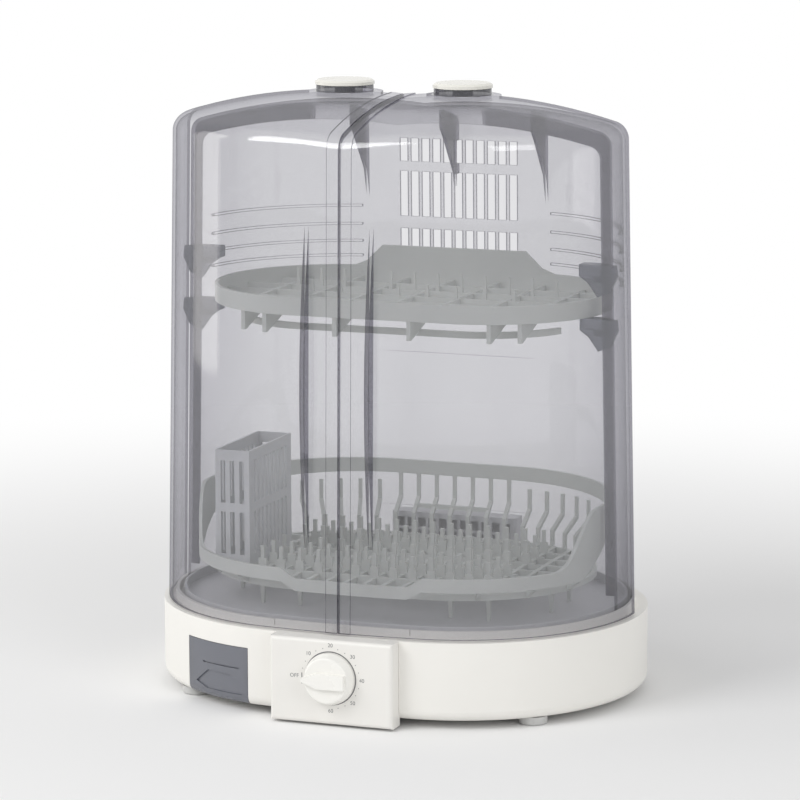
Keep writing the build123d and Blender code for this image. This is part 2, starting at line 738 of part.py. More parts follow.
def radial(angle, sign=1):
    """Upright plane through a door pivot: sketch X runs outwards at an angle, sketch Y up."""
    outwards = (sign * cos(radians(angle)), sin(radians(angle)), 0)
    return Plane((sign * pivot_x, 0, 0), x_dir=outwards, z_dir=(outwards[1], -outwards[0], 0))


def strip(planes, points):
    """Thin rib of a polygon's outline, standing centrally on each of the planes."""
    with BuildPart() as ribs:
        with BuildSketch(*planes):
            with BuildLine():
                Polyline(*points, close=True)
            make_face()
        extrude(amount=basket_bar / 2, both=True)
    return ribs.part


ring_inner_radius = floor_radius - basket_bar
inner = ring_inner_radius + 0.6
outer = floor_radius - 0.4
band_out = basket_radius - 0.4
band_in = basket_radius - basket_wall + 0.4
rear_rib = [(inner, bar_top - 1), (outer, bar_top - 1), (outer, 112), (band_out, 124),
            (band_out, 146), (band_in, 146), (band_in, 126), (inner, 114)]
end_rib = [(inner, bar_top - 1), (outer, bar_top - 1), (outer, 108), (band_out, 120),
           (band_out, 138), (band_in, 138), (band_in, 122), (inner, 110)]
front_strut = [(inner, basket_floor + 0.5), (outer, basket_floor + 0.5), (band_out, 100),
               (band_out, 104), (band_in, 104), (inner, bar_top - 0.5)]
rib_places = [basket_pitch * step for step in range(-3, 4)]
basket_ribs_rear = strip([side(x) for x in rib_places], rear_rib)
basket_ribs_ends = strip([radial(angle, sign) for angle in (26, 38, 50, 58, 66, 74, 82)
                          for sign in (-1, 1)], end_rib)
basket_struts = strip([radial(angle, sign) for angle in (-20, -42, -64) for sign in (-1, 1)],
                      front_strut)
peg_rows = [cross_pitch * row for row in (-3, -2, -1, 1, 2, 3)]
leg_places = [(6 * basket_pitch, 3 * cross_pitch), (6 * basket_pitch, -3 * cross_pitch),
              (4 * basket_pitch, -3 * cross_pitch), (8.3 * basket_pitch, cross_pitch),
              (8.3 * basket_pitch, -cross_pitch)]

# Rim, ribs and floor ring of the lower basket.
with BuildPart() as lower_basket:
    with BuildSketch(Plane.XY.offset(basket_floor)):
        add(plan(floor_radius))
        add(plan(ring_inner_radius), mode=Mode.SUBTRACT)
    extrude(amount=basket_bar_height)
    add(lower_rim.part)
    add(front_rim.part)
    add(basket_ribs_rear)
    add(basket_ribs_ends)
    add(basket_struts)
    tie_half = 2 * basket_pitch
    block((-tie_half, tie_half), (floor_radius + 3, floor_radius + 6), (117.5, 121.0))

# Lattice floor inside the ring.
with BuildPart() as lower_basket_floor:
    with BuildSketch(Plane.XY.offset(basket_floor)):
        with GridLocations(basket_pitch, 1, basket_bars, 1):
            Rectangle(basket_bar, 2 * floor_radius)
        with GridLocations(1, cross_pitch, 1, 7):
            Rectangle(far, basket_bar)
        add(plan(ring_inner_radius), mode=Mode.INTERSECT)
    extrude(amount=basket_bar_height)

# Combs of stepped pegs along the cross bars.
with BuildPart() as lower_basket_pegs:
    for row in peg_rows:
        with BuildSketch(upright(row + peg_width / 2)):
            with Locations((0, bar_top)):
                Rectangle(peg_count * basket_pitch, 1.2, align=(Align.CENTER, Align.MIN))
                with GridLocations(basket_pitch, 1, peg_count, 1):
                    Rectangle(peg_foot_width, peg_foot_height, align=(Align.CENTER, Align.MIN))
                    Rectangle(peg_width, peg_height, align=(Align.CENTER, Align.MIN))
        extrude(amount=peg_width)

with BuildPart() as lower_basket_legs:
    with BuildSketch(Plane.XY.offset(basket_floor)):
        for sign in (-1, 1):
            with Locations(*[(sign * x, y) for x, y in leg_places]):
                Rectangle(leg_width, leg_width)
    extrude(amount=tray_floor - basket_floor, taper=leg_taper)

# ---------------------------------------------------------------- cutlery stand
tier_z = (bar_top + stand_top) / 2
stand_middle = ((stand_left + stand_right) / 2, (stand_front + stand_rear) / 2)


def slots(places, count):
    """Two tiers of upright slots through the stand, in the sketch being made."""
    with Locations(*places):
        with GridLocations(stand_slot_pitch, stand_tier_pitch, count, 2):
            Rectangle(stand_slot_width, stand_slot_height)


# Its floor and four walls are separate solids that meet face to face, so that its well stays open.
with BuildPart() as cutlery_stand:
    for plate_y in (stand_front, stand_rear - stand_wall):
        with BuildSketch(upright(plate_y + stand_wall)):
            with Locations((stand_middle[0], tier_z)):
                Rectangle(stand_right - stand_left, stand_top - bar_top)
            with BuildSketch(mode=Mode.SUBTRACT):
                slots([(stand_middle[0], tier_z)], 3)
        extrude(amount=stand_wall)
    for plate_x in (stand_left, stand_right - stand_wall):
        with BuildSketch(side(plate_x)):
            with Locations((stand_middle[1], tier_z)):
                Rectangle(stand_rear - stand_front - 2 * stand_wall, stand_top - bar_top)
            with BuildSketch(mode=Mode.SUBTRACT):
                slots([(stand_middle[1], tier_z)], 9)
        extrude(amount=stand_wall)
    block((stand_left + stand_wall, stand_right - stand_wall),
          (stand_front + stand_wall, stand_rear - stand_wall), (bar_top, bar_top + stand_wall))

# ---------------------------------------------------------------- upper basket
def shelf_plan(radius):
    """Plan outline of the upper basket at a radius from its two end centres."""
    with BuildSketch() as outline:
        with Locations((0, upper_y)):
            SlotCenterToCenter(2 * upper_half, 2 * radius)
    return outline.sketch


upper_bar_top = upper_low + upper_bar_height


def fin(x):
    """Three-sided fin below the shelf at a width, deepest at the rim."""
    edge = upper_y - sqrt(upper_radius ** 2 - max(0.0, abs(x) - upper_half) ** 2) + 1
    return strip([side(x)], [(edge, upper_low + 1), (edge, upper_low - fin_depth),
                             (edge + 3, upper_low - fin_depth), (edge + fin_length, upper_low - 1),
                             (edge + fin_length, upper_low + 1)])


with BuildPart() as upper_basket:
    with BuildSketch(Plane.XY.offset(upper_low)):
        add(shelf_plan(upper_radius))
        add(shelf_plan(upper_radius - basket_wall), mode=Mode.SUBTRACT)
    extrude(amount=upper_high - upper_low)
    with BuildSketch(Plane.XY.offset(upper_low)):
        with Locations((0, upper_y)):
            with GridLocations(1, upper_cross_pitch, 1, 5):
                Rectangle(far, basket_bar)
            with GridLocations(39.0, 1, 7, 1):
                Rectangle(basket_bar, far)
        add(shelf_plan(upper_radius - 1), mode=Mode.INTERSECT)
    extrude(amount=upper_bar_height)
    for x in fin_places:
        add(fin(x))
    with BuildSketch(Plane.XY.offset(upper_low - fin_depth + 1)):
        add(shelf_plan(upper_radius - 21))
        add(shelf_plan(upper_radius - 21 - basket_bar), mode=Mode.SUBTRACT)
        with Locations((0, upper_y - 30 + far / 2)):
            Rectangle(2 * far, far, mode=Mode.SUBTRACT)
    extrude(amount=5)
    with BuildSketch(upright(upper_y + upper_radius)):
        with BuildLine():
            Polyline((-95, upper_high - 4), (-75, upper_high + 4), (-61.5, upper_high + 17),
                     (61.5, upper_high + 17), (75, upper_high + 4), (95, upper_high - 4), close=True)
        make_face()
    extrude(amount=basket_wall)

with BuildPart() as upper_basket_pegs:
    with BuildSketch(Plane.XY.offset(upper_bar_top)):
        with Locations((0, upper_y + upper_cross_pitch)):
            with GridLocations(upper_peg_pitch, 1, upper_peg_count, 1):
                Rectangle(peg_width, peg_width)
    extrude(amount=upper_peg_height, taper=peg_taper)

# ---------------------------------------------------------------- write the pieces
pieces = {
    "base_shell": base_shell, "bottom_plate": bottom_plate, "rubber_feet": rubber_feet,
    "bottom_screws": bottom_screws, "intake_filter": intake_filter, "control_panel": control_panel,
    "timer_unit": timer_unit, "timer_shaft": timer_shaft, "timer_knob": timer_knob,
    "drip_drawer": drip_drawer, "drawer_housing": drawer_housing, "blower_housing": blower_housing,
    "fan_motor": fan_motor, "fan_shaft": fan_shaft, "fan_impeller": fan_impeller,
    "air_duct": air_duct, "heater_block": heater_block, "heater_holder": heater_holder,
    "thermal_cutout": thermal_cutout, "air_outlet_box": air_outlet_box,
    "cord_bushing": cord_bushing, "drip_tray": drip_tray, "lower_basket": lower_basket,
    "lower_basket_floor": lower_basket_floor, "lower_basket_pegs": lower_basket_pegs,
    "lower_basket_legs": lower_basket_legs, "tray_ring": tray_ring,
    "cutlery_stand": cutlery_stand, "upper_basket": upper_basket,
    "upper_basket_pegs": upper_basket_pegs, "rear_shell": rear_shell,
    "door_left": door_left, "door_right": door_right, **pivot_caps, **brackets,
}
# The origin moves to the middle of the footprint's box, from the knob to the cord gland.
foremost = knob_back - knob_depth - knob_pointer
rearmost = base_radius + 2
to_middle = Location((0, -(foremost + rearmost) / 2, 0))
os.makedirs("parts", exist_ok=True)
for name, piece in pieces.items():
    finished = piece.part.moved(to_middle)
    finished.label = name
    export_step(finished, "parts/" + name + ".step")
print(len(pieces), "pieces")
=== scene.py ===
"""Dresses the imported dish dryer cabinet: smooth clear shells, moulded finishes, printed dial and studio."""
import json
import logging
from dataclasses import dataclass, field
from enum import Enum
from math import cos, pi, radians, sin

import bmesh
import bpy
from mathutils import Matrix, Vector


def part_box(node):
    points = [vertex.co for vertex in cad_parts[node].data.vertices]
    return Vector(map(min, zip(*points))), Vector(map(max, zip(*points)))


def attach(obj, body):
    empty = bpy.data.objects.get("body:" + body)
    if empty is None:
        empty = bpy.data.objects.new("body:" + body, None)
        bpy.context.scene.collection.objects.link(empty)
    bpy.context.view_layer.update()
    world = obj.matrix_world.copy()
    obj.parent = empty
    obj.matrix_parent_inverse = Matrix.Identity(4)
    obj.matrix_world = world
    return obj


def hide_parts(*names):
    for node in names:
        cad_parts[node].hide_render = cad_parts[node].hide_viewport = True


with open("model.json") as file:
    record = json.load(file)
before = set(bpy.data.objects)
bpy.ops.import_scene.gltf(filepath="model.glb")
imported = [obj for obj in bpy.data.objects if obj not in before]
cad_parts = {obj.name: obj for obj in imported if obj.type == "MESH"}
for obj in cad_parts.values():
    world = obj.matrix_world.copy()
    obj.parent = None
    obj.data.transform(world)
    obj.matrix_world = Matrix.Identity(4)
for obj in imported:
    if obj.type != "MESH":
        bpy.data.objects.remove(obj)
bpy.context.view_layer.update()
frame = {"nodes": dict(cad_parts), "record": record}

LOG = logging.getLogger("dish_dryer")
MM = 0.001
Colour = tuple[float, float, float]


class Body(Enum):
    """CAD bodies that pieces ride on."""

    CABINET = "cabinet"
    DOOR_LEFT = "door_left"
    DOOR_RIGHT = "door_right"


# ---------------------------------------------------------------- finishes
class ShaderTree:
    """Thin wrapper round a material's node tree."""

    def __init__(self, name: str) -> None:
        """Start an empty tree with an output.

        Args:
            name: Name of the material.
        """
        self.material = bpy.data.materials.new(name)
        self.material.use_nodes = True
        self.nodes = self.material.node_tree.nodes
        self.links = self.material.node_tree.links
        self.nodes.clear()
        self.output = self.nodes.new("ShaderNodeOutputMaterial")
        self.place = self.nodes.new("ShaderNodeTexCoord").outputs["Object"]

    def add(self, kind: str, inputs: dict | None = None, **settings: object) -> bpy.types.Node:
        """Add a node.

        Args:
            kind: Node type without its ShaderNode prefix.
            inputs: Socket name or number to a value or to a socket to link.
            settings: Attributes of the node.

        Returns:
            The new node.
        """
        node = self.nodes.new("ShaderNode" + kind)
        for key, value in settings.items():
            setattr(node, key, value)
        for key, value in (inputs or {}).items():
            if isinstance(value, bpy.types.NodeSocket):
                self.links.new(value, node.inputs[key])
            else:
                node.inputs[key].default_value = value
        return node

    def noise(self, scale: float, detail: float = 3.0, stretch: Colour = (1, 1, 1)) -> bpy.types.NodeSocket:
        """Noise factor in object coordinates.

        Args:
            scale: Cells for each metre.
            detail: Octaves.
            stretch: Scale along each axis.

        Returns:
            The noise's factor socket.
        """
        place = self.place
        if stretch != (1, 1, 1):
            place = self.add("Mapping", {"Vector": place, "Scale": stretch}).outputs[0]
        return self.add("TexNoise", {"Vector": place, "Scale": scale, "Detail": detail}).outputs["Fac"]

    def spread(self, factor: bpy.types.NodeSocket, low: float, high: float) -> bpy.types.NodeSocket:
        """Map the useful middle of a noise factor to a range.

        Args:
            factor: Noise factor.
            low: Value where the noise is low.
            high: Value where the noise is high.

        Returns:
            The mapped socket.
        """
        node = self.add("MapRange", {"Value": factor, "From Min": 0.3, "From Max": 0.7, "To Min": low,
                                     "To Max": high})
        return node.outputs[0]

    def blend(self, factor: bpy.types.NodeSocket, first: Colour, second: Colour) -> bpy.types.NodeSocket:
        """Mix two colours by a factor.

        Args:
            factor: Mixing factor.
            first: Colour at 0.
            second: Colour at 1.

        Returns:
            The mixed colour's socket.
        """
        node = self.add("Mix", data_type="RGBA")
        self.links.new(factor, node.inputs[0])
        node.inputs[6].default_value = (*first, 1)
        node.inputs[7].default_value = (*second, 1)
        return node.outputs[2]

    def finish(self, shader: bpy.types.Node) -> bpy.types.Material:
        """Link the last shader to the output.

        Args:
            shader: Node whose first output is the surface.

        Returns:
            The finished material.
        """
        self.links.new(shader.outputs[0], self.output.inputs["Surface"])
        return self.material


def toned(colour: Colour, share: float) -> Colour:
    """Colour scaled by a share, kept under 1.

    Args:
        colour: Linear colour.
        share: Factor on every channel.

    Returns:
        The scaled colour.
    """
    return tuple(min(1.0, channel * share) for channel in colour)


@dataclass(frozen=True)
class MouldedPlastic:
    """Opaque injection-moulded plastic with a fine grain, faint mottling and uneven gloss."""

    name: str
    colour: Colour
    roughness: float = 0.4
    grain: float = 0.05
    grain_scale: float = 1400.0
    mottle: float = 0.03
    translucency: float = 0.0

    def material(self) -> bpy.types.Material:
        """Build the material.

        Returns:
            The plastic's material.
        """
        tree = ShaderTree(self.name)
        cloud = tree.noise(9.0, 4.0)
        colour = tree.blend(tree.spread(cloud, 0.0, 1.0), toned(self.colour, 1 - self.mottle),
                            toned(self.colour, 1 + self.mottle / 2))
        gloss = tree.spread(tree.noise(35.0, 5.0), self.roughness - 0.05, self.roughness + 0.06)
        grain = tree.add("Bump", {"Height": tree.noise(self.grain_scale, 2.0), "Strength": self.grain,
                                  "Distance": 0.15 * MM})
        surface = tree.add("BsdfPrincipled", {"Base Color": colour, "Roughness": gloss,
                                              "Normal": grain.outputs[0]})
        if self.translucency:
            surface.inputs["Subsurface Weight"].default_value = self.translucency
            surface.inputs["Subsurface Radius"].default_value = (1.0, 0.9, 0.8)
            surface.inputs["Subsurface Scale"].default_value = 2 * MM
        return tree.finish(surface)


@dataclass(frozen=True)
class SmokedClear:
    """Clear tinted plastic: a thin film at each face, darker where it's seen edge on."""

    name: str
    tint: Colour
    body: Colour = (0.5, 0.5, 0.55)
    haze: float = 0.0
    edge_limit: float = 0.07
    slant: float = 0.6
    shine: float = 0.06
    edge_shine: float = 0.22
    roughness: float = 0.06
    # hub places painted shade round each pivot, where the clear hub lies in shade under its cap.
    hub: tuple[Colour, float] | None = None
    hub_shade_colour: Colour = (0.07, 0.07, 0.08)
    hub_shade_cover: float = 0.8

    def hub_shade_mask(self, tree: ShaderTree) -> bpy.types.NodeSocket:
        """One inside the painted shade round the two pivots, where the clear hubs lie in shade under the caps;
        the two mirror each other across X.

        Args:
            tree: Tree that it's added to.

        Returns:
            The mask's socket.
        """
        (across, depth, low), radius = self.hub
        parts = tree.add("SeparateXYZ", {0: tree.place}).outputs
        apart = tree.add("Math", {0: parts[0]}, operation="ABSOLUTE").outputs[0]
        flat = tree.add("CombineXYZ", {0: apart, 1: parts[1], 2: 0.0}).outputs[0]
        reach = tree.add("VectorMath", {0: flat, 1: (across, depth, 0.0)}, operation="DISTANCE")
        inside = tree.add("Math", {0: reach.outputs["Value"], 1: radius}, operation="LESS_THAN").outputs[0]
        above = tree.add("Math", {0: parts[2], 1: low}, operation="GREATER_THAN").outputs[0]
        return tree.add("Math", {0: inside, 1: above}, operation="MULTIPLY").outputs[0]

    def material(self) -> bpy.types.Material:
        """Build the material.

        Returns:
            The clear plastic's material.
        """
        tree = ShaderTree(self.name)
        facing = tree.add("LayerWeight", {"Blend": 0.5}).outputs["Facing"]
        square_on = tree.add("Math", {0: 1.0, 1: facing}, operation="SUBTRACT").outputs[0]
        kept = tree.add("Math", {0: square_on, 1: self.edge_limit}, operation="MAXIMUM").outputs[0]
        path = tree.add("Math", {0: kept, 1: -self.slant}, operation="POWER").outputs[0]
        streak = tree.spread(tree.noise(14.0, 2.0, (1, 1, 0.25)), 0.94, 1.06)
        path = tree.add("Math", {0: path, 1: streak}, operation="MULTIPLY").outputs[0]
        channels = tree.add("CombineColor")
        for index, share in enumerate(self.tint):
            power = tree.add("Math", {0: share, 1: path}, operation="POWER").outputs[0]
            tree.links.new(power, channels.inputs[index])
        clear = tree.add("BsdfTransparent", {"Color": channels.outputs[0]})
        gloss = tree.spread(tree.noise(60.0, 3.0), self.roughness * 0.8, self.roughness * 1.3)
        solid = tree.add("BsdfPrincipled", {"Base Color": (*self.body, 1), "Roughness": gloss,
                                            "Specular IOR Level": 1.0})
        glancing = tree.add("Math", {0: facing, 1: 4.0}, operation="POWER").outputs[0]
        mirror = tree.add("MapRange", {"Value": glancing, "To Min": self.shine, "To Max": self.edge_shine})
        glossy = tree.add("BsdfGlossy", {"Color": (1, 1, 1, 1), "Roughness": gloss})
        film = tree.add("MixShader", {0: mirror.outputs[0], 1: clear.outputs[0], 2: glossy.outputs[0]})
        # Painted shade: a dark shader mixed in round the pivots, under the caps.
        if self.hub:
            dark = tree.add("BsdfPrincipled", {"Base Color": (*self.hub_shade_colour, 1), "Roughness": 0.12})
            share = tree.add("Math", {0: self.hub_shade_mask(tree), 1: self.hub_shade_cover},
                             operation="MULTIPLY").outputs[0]
            film = tree.add("MixShader", {0: share, 1: film.outputs[0], 2: dark.outputs[0]})
        if not self.haze:
            return tree.finish(film)
        return tree.finish(tree.add("MixShader", {0: self.haze, 1: film.outputs[0], 2: solid.outputs[0]}))


@dataclass(frozen=True)
class WorkedMetal:
    """Bare metal with drawn streaks along one axis."""

    name: str
    colour: Colour
    roughness: float = 0.32
    streaks: Colour = (1, 1, 0.05)

    def material(self) -> bpy.types.Material:
        """Build the material.

        Returns:
            The metal's material.
        """
        tree = ShaderTree(self.name)
        drawn = tree.noise(1800.0, 2.0, self.streaks)
        colour = tree.blend(tree.spread(drawn, 0.0, 1.0), toned(self.colour, 0.9), self.colour)
        gloss = tree.spread(drawn, self.roughness - 0.08, self.roughness + 0.1)
        bump = tree.add("Bump", {"Height": drawn, "Strength": 0.08, "Distance": 0.05 * MM})
        return tree.finish(tree.add("BsdfPrincipled", {"Base Color": colour, "Metallic": 1.0,
                                                       "Roughness": gloss, "Normal": bump.outputs[0]}))


@dataclass(frozen=True)
class SoftRubber:
    """Pale rubber with a matt, slightly dusty skin."""

    name: str
    colour: Colour

    def material(self) -> bpy.types.Material:
        """Build the material.

        Returns:
            The rubber's material.
        """
        tree = ShaderTree(self.name)
        dust = tree.noise(220.0, 5.0)
        colour = tree.blend(tree.spread(dust, 0.0, 1.0), toned(self.colour, 0.88), self.colour)
        bump = tree.add("Bump", {"Height": dust, "Strength": 0.15, "Distance": 0.1 * MM})
        return tree.finish(tree.add("BsdfPrincipled", {"Base Color": colour, "Roughness": 0.8,
                                                       "Normal": bump.outputs[0]}))


FINISHES = {
    "body_white": MouldedPlastic("body_white", (0.87, 0.855, 0.815), roughness=0.42, grain=0.06),
    "panel_white": MouldedPlastic("panel_white", (0.85, 0.835, 0.80), roughness=0.36, grain=0.03),
    "cap_white": MouldedPlastic("cap_white", (0.86, 0.845, 0.78), roughness=0.25, grain=0.01),
    "knob_white": MouldedPlastic("knob_white", (0.91, 0.9, 0.86), roughness=0.28, grain=0.01),
    # clear_smoke paints shade round the two pivot hubs, under the caps.
    "clear_smoke": SmokedClear("clear_smoke", (0.878, 0.877, 0.888), edge_limit=0.04,
                               hub=((49 * MM, 13.25 * MM, 468.5 * MM), 24.5 * MM)),
    "clear_rim": SmokedClear("clear_rim", (0.5, 0.49, 0.54), body=(0.12, 0.12, 0.14), haze=0.3,
                             shine=0.12),
    "drawer_smoke": SmokedClear("drawer_smoke", (0.6, 0.61, 0.66), body=(0.26, 0.27, 0.31), haze=0.55),
    "bracket_smoke": SmokedClear("bracket_smoke", (0.6, 0.61, 0.66), body=(0.2, 0.21, 0.24), haze=0.45),
    "basket_grey": MouldedPlastic("basket_grey", (0.64, 0.66, 0.63), roughness=0.45, grain=0.04,
                                  translucency=0.15),
    "stand_grey": MouldedPlastic("stand_grey", (0.66, 0.67, 0.68), roughness=0.45, grain=0.03,
                                 translucency=0.15),
    "tray_grey": MouldedPlastic("tray_grey", (0.62, 0.62, 0.64), roughness=0.4, grain=0.03),
    "inner_white": MouldedPlastic("inner_white", (0.72, 0.72, 0.7), roughness=0.5),
    "dark_plastic": MouldedPlastic("dark_plastic", (0.03, 0.03, 0.034), roughness=0.45, mottle=0.15),
    "motor_steel": WorkedMetal("motor_steel", (0.4, 0.41, 0.43), roughness=0.42),
    "steel": WorkedMetal("steel", (0.62, 0.62, 0.63)),
    "fin_aluminium": WorkedMetal("fin_aluminium", (0.75, 0.75, 0.76), roughness=0.38, streaks=(0.05, 1, 1)),
    "feet_rubber": SoftRubber("feet_rubber", (0.6, 0.6, 0.59)),
    "print_grey": MouldedPlastic("print_grey", (0.16, 0.16, 0.17), roughness=0.55, grain=0.0),
}
MATERIALS = {name: finish.material() for name, finish in FINISHES.items()}


# ---------------------------------------------------------------- shared steps
def dress(obj: bpy.types.Object, slot: str) -> None:
    """Give an object one finish.

    Args:
        obj: Mesh object.
        slot: Name of the finish.
    """
    obj.data.materials.clear()
    obj.data.materials.append(MATERIALS[slot])


def place_piece(name: str, mesh: bpy.types.Mesh, slot: str, body: Body, *nodes: str) -> bpy.types.Object:
    """Make an object of a finished mesh, dress it and hang it on its body.

    Args:
        name: Name of the piece.
        mesh: Mesh in place, in the row frame.
        slot: Finish and record slot.
        body: CAD body that carries it.
        nodes: CAD nodes that it stands for.

    Returns:
        The piece.
    """
    piece = bpy.data.objects.new(name, mesh)
    bpy.context.scene.collection.objects.link(piece)
    dress(piece, slot)
    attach(piece, body.value)
    if nodes:
        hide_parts(*nodes)
    LOG.info("%s rides on %s", name, body.value)
    return piece


def smooth_copy(node: str, sharp: float = 24.0) -> bpy.types.Mesh:
    """Merged copy of a CAD node's mesh that shades its curved faces smoothly.

    Args:
        node: Name of the CAD node.
        sharp: Angle in degrees above which an edge stays sharp.

    Returns:
        The new mesh.
    """
    form = bmesh.new()
    form.from_mesh(frame["nodes"][node].data)
    bmesh.ops.remove_doubles(form, verts=form.verts, dist=0.002 * MM)
    bmesh.ops.dissolve_degenerate(form, edges=form.edges, dist=0.002 * MM)
    for face in form.faces:
        face.smooth = True
    for edge in form.edges:
        edge.smooth = len(edge.link_faces) == 2 and edge.calc_face_angle(0.0) < radians(sharp)
    mesh = bpy.data.meshes.new(node + "_smooth")
    form.to_mesh(mesh)
    form.free()
    for attribute in [a for a in mesh.attributes if a.name == "custom_normal"]:
        mesh.attributes.remove(attribute)
    return mesh


# ---------------------------------------------------------------- pieces
@dataclass
class ClearShells:
    """The two swing doors and the fixed shell behind them, as smooth clear mouldings; their cut edges, rib
    sides and slot walls take the darker rim finish, partly the longer path through the plastic and partly
    painted shade for the dark lines that refraction makes there.
    """

    sharp: float = 24.0
    pivot_across: float = 49.0 * MM
    pivot_depth: float = 13.25 * MM
    rim_lean: float = 0.5
    upright_limit: float = 0.3
    level_limit: float = 0.95
    slot_area: float = 60.0 * MM * MM
    foot_reach: float = 6.0 * MM
    roof: float = 430.0 * MM

    def is_rim(self, face: bpy.types.MeshPolygon, foot: float) -> bool:
        """Whether a face is a cut edge, a rib's side or a slot's wall, seen as a dark line.

        Args:
            face: Face of the moulding.
            foot: Height of the moulding's lower edge.

        Returns:
            True for such a face.
        """
        normal, middle = face.normal, face.center
        across = max(-self.pivot_across, min(self.pivot_across, middle.x))
        outward = Vector((middle.x - across, middle.y - self.pivot_depth, 0)).normalized()
        if abs(normal.z) < self.upright_limit:
            return abs(normal.dot(outward)) < self.rim_lean
        level = abs(normal.z) > self.level_limit and middle.z < self.roof
        return level and (face.area < self.slot_area or middle.z < foot + self.foot_reach)

    def build(self) -> None:
        """Make the three clear mouldings."""
        for name, node, body in (("door_moulding_left", "door_left", Body.DOOR_LEFT),
                                 ("door_moulding_right", "door_right", Body.DOOR_RIGHT),
                                 ("rear_moulding", "rear_shell", Body.CABINET)):
            piece = place_piece(name, smooth_copy(node, self.sharp), "clear_smoke", body, node)
            piece.data.materials.append(MATERIALS["clear_rim"])
            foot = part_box(node)[0].z
            for face in piece.data.polygons:
                # Partly painted shade: edge faces take the darker, hazed rim finish in place of the dark lines
                # that refraction gives.
                if self.is_rim(face, foot):
                    face.material_index = 1


@dataclass
class LowPegs:
    """Row of short pegs across the middle of the upper basket."""

    seat: float = 306.8 * MM
    height: float = 9.5 * MM
    width: float = 2.8 * MM
    tip_share: float = 0.75
    pitch: float = 24.3 * MM
    count: int = 8
    depth: float = 32.2 * MM

    def build(self) -> None:
        """Make the row as one piece."""
        form = bmesh.new()
        for index in range(self.count):
            shift = (index - (self.count - 1) / 2) * self.pitch
            place = Matrix.Translation((shift, self.depth, self.seat + self.height / 2))
            size = Matrix.Diagonal((self.width, self.width, self.height, 1))
            corners = bmesh.ops.create_cube(form, size=1.0, matrix=place @ size)["verts"]
            top = [corner for corner in corners if corner.co.z > self.seat + self.height / 2]
            bmesh.ops.scale(form, vec=(self.tip_share, self.tip_share, 1), verts=top,
                            space=Matrix.Translation((-shift, -self.depth, 0)))
        mesh = bpy.data.meshes.new("upper_low_pegs")
        form.to_mesh(mesh)
        form.free()
        place_piece("upper_low_pegs", mesh, "basket_grey", Body.CABINET)


